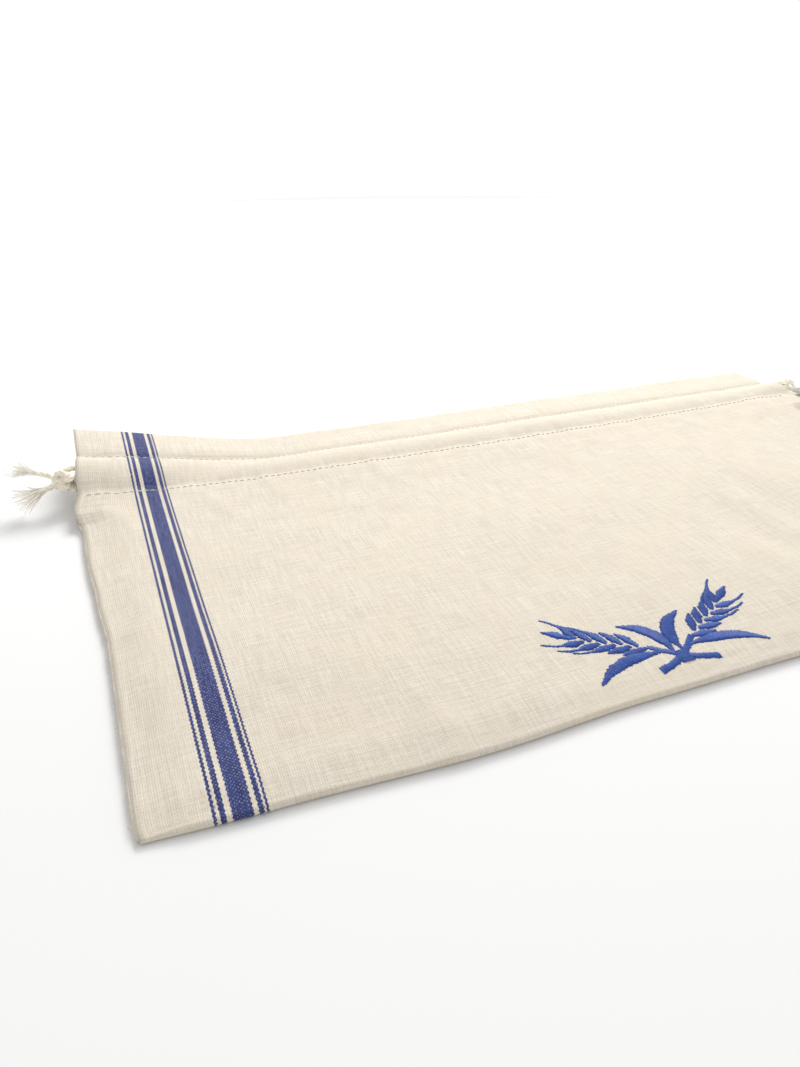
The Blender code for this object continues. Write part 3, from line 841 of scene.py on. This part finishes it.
# The knot's place is counted from between the two cords' exits, and the steps of the free ends past the
# knot from the middle of the knot. In both the first number is how far outward.
Drawstring = namedtuple("Drawstring", "side outward off_middle knot upper_end lower_end")
DRAWSTRINGS = (
    Drawstring(
        side="left",
        outward=-1,
        off_middle=-CORD_SPACING / 2,
        knot=(0.0048, -0.0004, 0.0028),
        upper_end=((0.0052, 0.0012, 0.0026), (0.0105, 0.0032, 0.0040), (0.0155, 0.0056, 0.0048)),
        lower_end=((0.0052, -0.0006, -0.0022), (0.0100, -0.0012, -0.0034), (0.0145, -0.0030, -0.0044)),
    ),
    Drawstring(
        side="right",
        outward=1,
        off_middle=CORD_SPACING / 2,
        knot=(0.0048, 0.0006, 0.0014),
        upper_end=((0.0052, 0.0016, 0.0018), (0.0105, 0.0052, 0.0004), (0.0155, 0.0090, -0.0022)),
        lower_end=((0.0052, -0.0012, -0.0018), (0.0100, -0.0028, -0.0030), (0.0145, -0.0050, -0.0036)),
    ),
)
# What the upper and the lower end share on both sides: the layer of cloth that they leave, their steps
# through the knot, and how far back, how wide and how flat they are frayed.
EndKind = namedtuple("EndKind", "which layer through root spread flat")
UPPER_THROUGH = ((-0.0040, 0.0, 0.0011), (0.0, 0.0, 0.0011), (0.0034, 0.0, 0.0011))
LOWER_THROUGH = ((-0.0040, 0.0, -0.0034), (0.0, 0.0, -0.0020), (0.0034, 0.0, -0.0016))
UPPER_END = EndKind("upper", 1, UPPER_THROUGH, root=0.0046, spread=0.45, flat=0.5)
LOWER_END = EndKind("lower", 0, LOWER_THROUGH, root=0.0085, spread=0.52, flat=0.6)
FRAY_YARNS, FRAY_YARN = 84, 0.00040  # how many yarns an end has, and how thick one is
UNFRAYED = 0.90  # the share of a free end's line that is still whole cord
RUN_LAY, KNOT_LAY, END_LAY = 0.0105, 0.0095, 0.0092  # how far a ply goes in one turn round its cord
KNOT_CORD = 0.0021  # the cord's thickness where the knot squeezes it
KNOT_CORD_SEEN = 1.38 * KNOT_CORD  # and as it is drawn, so that its turns close up
KNOT_LENGTH = 0.042
KNOT_REACH = 0.0050
KNOT_SHORTER, KNOT_TALLER = 0.80, 1.12
KNOT_TILT = 0.35  # radians round its length
CORD_INSIDE = 0.015  # how far a free end is followed back into its tunnel
CORD_SQUEEZED = 0.014  # how far in from the side the cloth starts to press a cord thinner
CORD_PRESSED = 0.24  # and by what share it is pressed


def tunnel_line(layer, from_fold, across):
    """The middle line of a cord in the tunnel of the back layer, 0, or the front layer, 1."""
    thick = read_table(STATIONS, from_fold, "thick") + tunnel_height(across, from_fold)
    back = lift(across, from_fold)
    z = back + 0.5 * thick if layer == 0 else back + 1.5 * thick + layer_gap(across, from_fold)
    return place_at(across, from_fold, z)


def tie_knot():
    """Two cords side by side in one overhand knot, drawn tight: their lines, the knot lying along X.
    The loose knot's loop is shortened step by step, while the cords keep each other a thickness apart."""
    points, steps = 60, 800
    turn = np.linspace(-2.2, 2.2, points)
    loose = 0.0030 * np.stack([turn**3 - 3 * turn, turn**4 - 4 * turn**2, turn**5 / 5 - 2 * turn], 1)
    ahead = headings(loose)
    beside = carried_along(ahead, np.cross(ahead[0], [0.0, 1.0, 0.0]))
    lines = np.stack([loose + 0.55 * KNOT_CORD * beside, loose - 0.55 * KNOT_CORD * beside])
    start = lines[:, [0, -1]].copy()
    half = 0.5 * KNOT_CORD
    goal = np.array([[[side * KNOT_REACH, 0.0, sign * half] for side in (-1, 1)] for sign in (1, -1)])
    first = np.linalg.norm(np.diff(lines, axis=1), axis=2).sum(1).mean()
    strand, place = np.divmod(np.arange(2 * points), points)
    apart = (strand[:, None] != strand[None]) | (np.abs(place[:, None] - place[None]) > 4)
    for step in range(steps):
        drawn = min(1.0, step / (0.7 * steps))
        wanted = (first + (KNOT_LENGTH - first) * drawn) / (points - 1)
        ends = start + (goal - start) * min(1.0, step / (0.35 * steps))
        for _ in range(2):
            gap = np.diff(lines, axis=1)
            pull = 0.225 * gap * (1.0 - wanted / np.linalg.norm(gap, axis=2, keepdims=True))
            lines[:, :-1] += pull
            lines[:, 1:] -= pull
        lines[:, 1:-1] += 0.12 * (0.5 * (lines[:, :-2] + lines[:, 2:]) - lines[:, 1:-1])
        flat = lines.reshape(-1, 3)
        for _ in range(2):
            away = flat[:, None] - flat[None]
            far = np.linalg.norm(away, axis=2) + 1e-9
            push = np.where((far < KNOT_CORD) & apart, (KNOT_CORD - far) / far, 0.0)
            flat += 0.25 * (away * push[:, :, None]).sum(1)
        lines = flat.reshape(2, points, 3)
        lines[:, [0, -1]] = ends
    return lines


def ply_tubes(line, thickness, lay, sides=7):
    """A cord of three plies twisted along a line. It is pressed thinner inside the tunnels."""
    steps = max(12, int(line_length(line) / (lay / 11)))
    line = respaced(line, steps)
    ahead, along = headings(line), distances(line)
    normal = carried_along(ahead, np.array([0.3, 0.2, 1.0]))
    other = np.cross(ahead, normal)
    squeezed = ease((0.5 * BAG_WIDTH - CORD_SQUEEZED - np.abs(line[:, 0])) / CORD_SQUEEZED)
    radius = 0.5 * thickness * (1.0 - CORD_PRESSED * squeezed)
    shapes = []
    for ply in range(3):
        angle = 2.0 * np.pi * (along / lay + ply / 3)
        out = 0.46 * radius[:, None] * (np.cos(angle)[:, None] * normal + np.sin(angle)[:, None] * other)
        rough = 1.0 + 0.05 * unevenness(along, ply * 0.01, 0.0017, 0.004, 31 + ply)
        shapes.append(tubes([line + out], (0.56 * radius * rough)[None], sides))
    return join_shapes(shapes)


def frayed_end(line, kind, seed):
    """The loosened yarns of a cut end: they fan out from the cord and stray at their tips."""
    rng = np.random.default_rng(seed)
    tip, before = line[-1], line[max(0, len(line) - 12)]
    ahead = (tip - before) / np.linalg.norm(tip - before)
    side = np.cross(ahead, [0.0, 0.0, 1.0])
    side /= np.linalg.norm(side)
    up = np.cross(side, ahead)
    t = np.linspace(0.0, 1.0, 8)[:, None]
    threads = []
    for _ in range(FRAY_YARNS):
        angle, out = rng.uniform(0, 2 * np.pi), math.sqrt(rng.uniform(0.0, 1.0))
        start = tip - ahead * kind.root + 0.40 * CORD * out * (side * math.cos(angle) + up * math.sin(angle))
        lean = kind.spread * out * (side * math.cos(angle) + kind.flat * up * math.sin(angle))
        reach = kind.root + rng.uniform(0.0030, 0.0062)
        curl = rng.normal(0.0, 0.16, 3) * reach
        path = start + ahead * reach * t + lean * reach * t**1.5 + curl * t**2.4
        path[:, 2] = np.maximum(path[:, 2], 0.0003)
        threads.append(path)
    radii = 0.5 * FRAY_YARN * np.linspace(1.0, 0.55, 8)[None] * rng.uniform(0.7, 1.15, (FRAY_YARNS, 1))
    return tubes(threads, radii, 5)


def place_knot(lines, centre, outward):
    """The tied knot moved to its place, its far side outward."""
    turned = lines.copy()
    turned[..., 0] *= outward
    middle = 0.5 * (turned[..., 1].min() + turned[..., 1].max())
    x, y, z = KNOT_SHORTER * turned[..., 0], turned[..., 1] - middle, KNOT_TALLER * turned[..., 2]
    cos, sin = math.cos(KNOT_TILT * outward), math.sin(KNOT_TILT * outward)
    return np.stack([x, y * cos - z * sin, y * sin + z * cos], -1) + centre


def hang_drawstring(string, knot_lines):
    """One drawstring: its run through the tunnels, its knot, and its two free ends with frayed tips."""
    from_fold = TUNNEL_MIDDLE + string.off_middle
    over = RUN_OVER / BAG_WIDTH
    own, far = (-over, 1.0 + over) if string.outward < 0 else (1.0 + over, -over)
    into = own + (far - own) * (CORD_INSIDE / BAG_WIDTH)
    exits = [tunnel_line(layer, from_fold, np.array(own)) for layer in (1, 0)]
    middle = 0.5 * (exits[0] + exits[1])
    centre = middle + np.array([string.outward * string.knot[0], string.knot[1], string.knot[2]])

    across = np.linspace(into, far, 60)
    front, back = (tunnel_line(layer, from_fold, across) for layer in (1, 0))
    radius = 0.5 * (front[-1, 2] - back[-1, 2])
    turn = np.linspace(0.0, np.pi, 14)[1:-1]
    loop = np.stack(
        [
            front[-1, 0] - string.outward * (TURN_CLEAR + radius * np.sin(turn)),
            np.full(len(turn), front[-1, 1]),
            0.5 * (front[-1, 2] + back[-1, 2]) + radius * np.cos(turn),
        ],
        -1,
    )
    run = np.concatenate([front, loop, back[::-1]])
    shape = ply_tubes(run, CORD, RUN_LAY, 6)
    string_run = make_piece(f"drawstring_run_{string.side}", shape, COTTON)
    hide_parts(f"drawstring_{string.side}")

    tied = place_knot(knot_lines, centre, string.outward)
    shape = join_shapes([ply_tubes(line, KNOT_CORD_SEEN, KNOT_LAY) for line in tied])
    knot = make_piece(f"overhand_knot_{string.side}", shape, COTTON)
    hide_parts(f"knot_{string.side}")

    for end, past in ((UPPER_END, string.upper_end), (LOWER_END, string.lower_end)):
        inside = tunnel_line(end.layer, from_fold, np.linspace(into, own, 6))
        steps = [centre + np.array([string.outward * dx, dy, dz]) for dx, dy, dz in end.through + past]
        line = spline(list(inside) + steps, 90)
        cut = line[: int(len(line) * UNFRAYED)]
        place = f"{string.side}_{end.which}"
        cord = make_piece(f"cord_{place}", ply_tubes(cut, CORD, END_LAY), COTTON)
        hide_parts(f"tail_{place}")
        shape = frayed_end(line, end, 50 + len(string.side) + end.layer)
        fray = make_piece(f"frayed_end_{place}", shape, FRAYED_PAINTED_LIGHT)


KNOT_LINES = tie_knot()
for drawstring in DRAWSTRINGS:
    hang_drawstring(drawstring, KNOT_LINES)

# ---------------------------------------------------------------- the cloth


def make_cloth():
    """The cloth as one closed sheet: its right side, its wrong side and the rim between them."""
    across, right, wrong, along = cloth_strip()
    rows, columns, _ = right.shape
    points = np.concatenate([right.reshape(-1, 3), wrong.reshape(-1, 3)])
    points[:, 2] = np.maximum(points[:, 2], 0.0)
    half = rows * columns
    faces = [grid_quads(rows, columns, 0, True), grid_quads(rows, columns, half)]
    index = np.arange(half).reshape(rows, columns)
    for line, flip in ((index[0], False), (index[-1], True), (index[:, 0], True), (index[:, -1], False)):
        rim = np.stack([line[:-1], line[1:], line[1:] + half, line[:-1] + half], -1)
        faces.append(rim[:, ::-1] if flip else rim)
    u, v = np.meshgrid(across * BAG_WIDTH, along)
    places = np.stack([u.ravel(), v.ravel()], -1)
    shape = points, np.concatenate(faces), np.concatenate([places, places])
    cloth = make_piece("cloth_of_the_bag", shape, LINEN)
    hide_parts("bag_cloth")
    return cloth, along[-1] - along[0]


SEAM_OUT, SEAM_IN = 0.0011, 0.0022  # how far a seam's roll reaches outward and into the bag
SEAM_SUNK = 0.0003  # how far it is set back into the bag's side
SEAM_WAVER = 0.00022
SEAM_SIDES = 14


def side_seam(name, edge, outward):
    """The rolled edge of a side seam, from the bottom fold up to the drawstring tunnels."""
    rows = np.concatenate([[0.0022, 0.004], np.arange(0.008, SEAM_TOP - 0.003, 0.003), [SEAM_TOP - 0.001]])
    points, places = [], []
    for row in rows:
        under, _ = back_levels(edge, row)
        top, _ = front_levels(edge, row)
        x, y = place_x(edge, row), place_y(edge, row)
        full = ease((SEAM_TOP - row) / 0.004) * ease((row + 0.002) / 0.004)
        waver = SEAM_WAVER * unevenness(row, 0.0, 0.0042, 1.0, 41)
        tall = (0.5 * (top - under) - 0.00006) * (0.55 + 0.45 * full)
        for turn in 2.0 * np.pi * np.arange(SEAM_SIDES) / SEAM_SIDES:
            reach = np.sign(np.cos(turn)) * abs(np.cos(turn)) ** 0.8
            wide = (SEAM_OUT if reach > 0 else SEAM_IN) * (0.4 + 0.6 * full)
            z = 0.5 * (top + under) + tall * np.sin(turn)
            points.append((x + outward * (wide * reach + waver - SEAM_SUNK), y, max(z, 0.0)))
            places.append((edge * BAG_WIDTH + 0.003 * np.sin(turn), row))
    index = np.arange(len(points)).reshape(len(rows), SEAM_SIDES)
    following = np.roll(index, -1, axis=1)
    quads = np.stack([index[:-1], following[:-1], following[1:], index[1:]], -1).reshape(-1, 4)
    faces = list(quads) + [index[0][::-1], index[-1]]
    if outward > 0:
        faces = [face[::-1] for face in faces]
    return make_piece(name, (np.array(points), faces, np.array(places)), LINEN)


STITCH_MARGIN = 0.004  # from the bag's side to the first stitch
STITCH_SPACE = 0.0006  # between one stitch and the next
STITCH_STRAY, STITCH_SLANT = 0.00008, 0.00010  # how far a stitch lies off its line, and turns across it
STITCH_RISE, STITCH_BITE = 0.00022, 0.00010  # how far a stitch arches up, and its ends dip in


def stitch_line(from_fold, back):
    """Small thread arches along a line of stitches."""
    first, last = STITCH_MARGIN / BAG_WIDTH, 1.0 - STITCH_MARGIN / BAG_WIDTH
    count = int((last - first) * BAG_WIDTH / STITCH_PITCH)
    rng = np.random.default_rng(60 + back)
    middles = (np.round(first * BAG_WIDTH / STITCH_PITCH) + 0.5 + np.arange(count)) * STITCH_PITCH
    t = np.linspace(-1.0, 1.0, 6)
    across = (middles[:, None] + 0.5 * (STITCH_PITCH - STITCH_SPACE) * t[None]) / BAG_WIDTH
    rows = from_fold + rng.normal(0.0, STITCH_STRAY, (count, 1)) + STITCH_SLANT * t[None]
    arch = STITCH_RISE * (1.0 - t[None] ** 4) - STITCH_BITE * t[None] ** 2
    if back:
        under, _ = back_levels(across, rows)
        z = np.maximum(under - arch, 0.00024)
    else:
        top, _ = front_levels(across, rows)
        z = top + arch
    return tubes(place_at(across, rows, z), 0.5 * STITCH_THREAD, 5)


def sew_hem():
    """Both lines of stitches, on the front layer and under the back one."""
    lines = (UPPER_STITCHES, LOWER_STITCHES)
    shape = join_shapes([stitch_line(line, back) for line in lines for back in (False, True)])
    return make_piece("hem_stitches", shape, SEWING)


FIBRES, FIBRE = 620, 0.00012  # how many fibres stand off the edges, and how thick one is
LEFT_SHARE, SIDES_SHARE = 0.5, 0.8  # the share of them at the left side, and at both sides together


def edge_fibres():
    """Short fibres that stand off the side seams and the mouth."""
    rng = np.random.default_rng(77)
    t = np.linspace(0.0, 1.0, 4)[:, None]
    threads = []
    for _ in range(FIBRES):
        which = rng.uniform()
        row = rng.uniform(0.004, SEAM_TOP) if which < SIDES_SHARE else BAG_DEPTH
        across = rng.uniform(0.01, 0.99)
        if which < SIDES_SHARE:
            edge, outward = (0.0, -1.0) if which < LEFT_SHARE else (1.0, 1.0)
            base = np.array([place_x(edge, row) + outward * 0.0009, place_y(edge, row), 0.0016])
            out = np.array([outward, rng.normal(0.0, 0.5), rng.normal(0.1, 0.4)])
        else:
            base = on_front(across, row) - np.array([0.0, 0.0002, 0.0006])
            out = np.array([rng.normal(0.0, 0.6), 1.0, rng.normal(0.1, 0.4)])
        out /= np.linalg.norm(out)
        long = rng.uniform(0.0004, 0.0012)
        threads.append(base + out * long * t + rng.normal(0.0, 0.00022, 3) * t**2)
    threads = np.array(threads)
    threads[..., 2] = np.maximum(threads[..., 2], 0.0002)
    shape = tubes(threads, 0.5 * FIBRE * np.linspace(1.0, 0.5, 4)[None], 4)
    return make_piece("edge_fibres", shape, SEWING)


# ---------------------------------------------------------------- embroidery

# The design lies in a field of its own, in millimetres, its lower left corner this far from the left side
# and from the bottom fold.
FIELD_X, FIELD_Y, FIELD_SCALE = 139.0, 8.0, 1.13
FIELD_WIDE = 90.0
THREAD = 0.00044
THREAD_LAP = 0.88  # from one thread to the next, as a share of the thread
THREAD_STRAY = 0.15
PAD_UNDER = 0.00012  # how far the padding lies under the middle of its threads
GRAIN_PAIRS, GRAIN_LONG, GRAIN_SHORTENS = 5, 8.8, 0.25
BEARDED_FROM = 2
SLANT = 0.25
# A patch of satin stitch: its middle line, its half widths along that, how high it is padded, and how far
# its threads slant, as a share of their length.
Patch = namedtuple("Patch", "points widths pad slant")
STEM = Patch([(45.0, 2.2), (45.0, 7.4)], (2.3, 2.6), 0.30, 0.0)
STALK = Patch([(34.0, 1.2), (41.0, 3.4), (48.0, 7.8), (53.5, 12.6)], (1.35, 1.25, 1.15, 1.0), 0.16, SLANT)
LEAF = Patch([(46.6, 8.2), (46.8, 14.5), (50.0, 20.8), (57.0, 25.4)], (0.5, 2.4, 2.3, 0.3), 0.28, SLANT)
LOW_LEAF = Patch([(50.8, 9.2), (60.0, 9.4), (69.0, 7.2), (77.0, 2.2)], (0.5, 2.3, 2.1, 0.3), 0.28, SLANT)
EAR_LINE = [(53.5, 12.6), (61.5, 17.2), (69.5, 21.8), (76.5, 27.2)]


def mirrored(patch):
    return patch._replace(points=[(FIELD_WIDE - x, y) for x, y in patch.points], slant=-patch.slant)


def ear_patches():
    """One ear of wheat with its stalk and its leaves: grains in pairs, the upper ones bearded."""
    patches = [STALK, LEAF, LOW_LEAF]
    spine = spline(EAR_LINE, 56)
    ahead = headings(spine)
    for pair in range(GRAIN_PAIRS):
        for side, later in ((-1.0, 0), (1.0, 5)):
            at = 1 + 10 * pair + later
            root, way = spine[at], ahead[at]
            across = np.array([-way[1], way[0]]) * side
            lean = 0.83 * way + 0.56 * across
            long = GRAIN_LONG - GRAIN_SHORTENS * pair
            start = root + 0.35 * across
            tip = start + long * lean
            belly = start + 0.48 * long * lean + 0.25 * across
            patches.append(Patch([start, belly, tip], (0.7, 1.72, 0.35), 0.34, SLANT))
            if pair >= BEARDED_FROM:
                beard = tip + way * 6.4 + across * 1.5
                line = [tip - 0.5 * lean, 0.5 * (tip + beard) + 0.3 * across, beard]
                patches.append(Patch(line, (0.46, 0.42, 0.28), 0.10, SLANT))
    tip, way = spine[-1], ahead[-1]
    crown = [tip - way * 3.2, tip + way * 1.8, tip + way * 6.8]
    return patches + [Patch(crown, (0.6, 1.7, 0.3), 0.34, SLANT)]


def stitch_patch(patch, rng):
    """Threads laid side by side across a patch, over a soft padding."""
    long = line_length(np.array(patch.points))
    count = max(6, int(long * FIELD_SCALE * 1.05 / (THREAD * 1000 * THREAD_LAP)))
    middle = spline(patch.points, count)
    ahead = headings(middle)
    across = np.stack([-ahead[:, 1], ahead[:, 0]], -1)
    across = across + patch.slant * ahead
    share = np.linspace(0.0, 1.0, count)
    half = np.interp(share, np.linspace(0.0, 1.0, len(patch.widths)), patch.widths)
    half = half * (0.94 + 0.12 * rng.random(count))
    t = np.linspace(-1.0, 1.0, 7)
    ends = half[:, None] + rng.normal(0.0, THREAD_STRAY, (count, 2)).repeat([4, 3], axis=1)
    flat = middle[:, None] + across[:, None] * (ends * t[None])[:, :, None]
    height = 0.16 + 0.75 * patch.pad * np.clip(half, 0.3, 2.0) / 1.6 + rng.normal(0.0, 0.018, count)
    arch = height[:, None] * (1.0 - t[None] ** 4) - 0.13
    u = (flat[..., 0] * FIELD_SCALE + FIELD_X) * MM
    v = (flat[..., 1] * FIELD_SCALE + FIELD_Y) * MM
    return on_front(u / BAG_WIDTH, v, arch * MM)


def embroider():
    """Two crossed ears of wheat. Each thread starts at another place of its fibres, so that tones differ."""
    rng = np.random.default_rng(91)
    ear = ear_patches()
    shapes, pads = [], []
    for patch in [STEM] + ear + [mirrored(patch) for patch in ear]:
        laid = stitch_patch(patch, rng)
        points, faces, places = tubes(laid, 0.5 * THREAD, 6)
        places[:, 1] += rng.uniform(0.0, 0.4, len(laid)).repeat(len(places) // len(laid))
        shapes.append((points, faces, places))
        pad = laid - np.array([0.0, 0.0, PAD_UNDER])
        rows, columns, _ = pad.shape
        pads.append((pad.reshape(-1, 3), list(grid_quads(rows, columns)), np.zeros((rows * columns, 2))))
    return make_piece("embroidered_wheat_ears", join_shapes(shapes + pads), SATIN)


cloth, cloth_length = make_cloth()
trimmings = [
    side_seam("side_seam_left", 0.0, -1.0),
    side_seam("side_seam_right", 1.0, 1.0),
    sew_hem(),
    edge_fibres(),
    embroider(),
]

# ---------------------------------------------------------------- floor and light

FLOOR_REACH, FLOOR_SIDES = 1.15, 96
FLOOR_UNDER = 0.0002  # how far the floor lies under the bag
KEY_PLACE = (0.22, 0.72, 0.56)
KEY_SIZE, KEY_POWER, KEY_COLOUR = 0.40, 7.0, (1.0, 0.99, 0.965)
SUN_POWER, SUN_SPREAD = 0.80, 30.0
SUN_FROM_ABOVE, SUN_TURN = 50.0, 128.0  # degrees from straight above, and round the bag
STUDIO_COLOUR = (0.992, 0.996, 1.0, 1.0)
STUDIO_LOW, STUDIO_HIGH = (0.06, 1.04), (0.30, 0.76)  # heights on the sky, and how bright it is there


def add_floor():
    """A round floor, ended where the lamp's light still reaches it, so that it meets the studio's white."""
    mesh = bpy.data.meshes.new("floor")
    turns = [2.0 * math.pi * step / FLOOR_SIDES for step in range(FLOOR_SIDES)]
    rim = [(FLOOR_REACH * math.cos(turn), FLOOR_REACH * math.sin(turn), 0.0) for turn in turns]
    mesh.from_pydata(rim, [], [tuple(range(FLOOR_SIDES))])
    mesh.materials.append(pale_paper())
    floor = add_object("floor", mesh)
    floor.location.z = -FLOOR_UNDER


def add_key():
    """A round soft lamp behind the bag, aimed at its middle."""
    data = bpy.data.lights.new("soft_key", "AREA")
    data.shape = "DISK"
    data.size = KEY_SIZE
    data.energy = KEY_POWER
    data.color = KEY_COLOUR
    key = add_object("soft_key", data)
    key.location = KEY_PLACE
    x, y, z = KEY_PLACE
    key.rotation_euler = (math.acos(z / math.hypot(x, y, z)), 0.0, math.atan2(x, -y))


def add_sun():
    """Even daylight from the back right, soft enough to leave no hard edge."""
    data = bpy.data.lights.new("daylight", "SUN")
    data.energy = SUN_POWER
    data.angle = math.radians(SUN_SPREAD)
    sun = add_object("daylight", data)
    sun.rotation_euler = (math.radians(SUN_FROM_ABOVE), 0.0, math.radians(SUN_TURN))


def add_world():
    """An even white studio, brightest near the horizon."""
    world = bpy.data.worlds.new("studio")
    world.use_nodes = True
    tree = world.node_tree
    where = shader_node(tree, "ShaderNodeTexCoord")
    _, _, height = split_place(tree, where.outputs["Generated"])
    (low, bright), (high, dim) = STUDIO_LOW, STUDIO_HIGH
    background = tree.nodes["Background"]
    background.inputs["Color"].default_value = STUDIO_COLOUR
    tree.links.new(remap(tree, height, low, high, bright, dim), background.inputs["Strength"])
    bpy.context.scene.world = world


add_floor()
add_key()
add_sun()
add_world()
bpy.context.scene.view_settings.view_transform = "Standard"
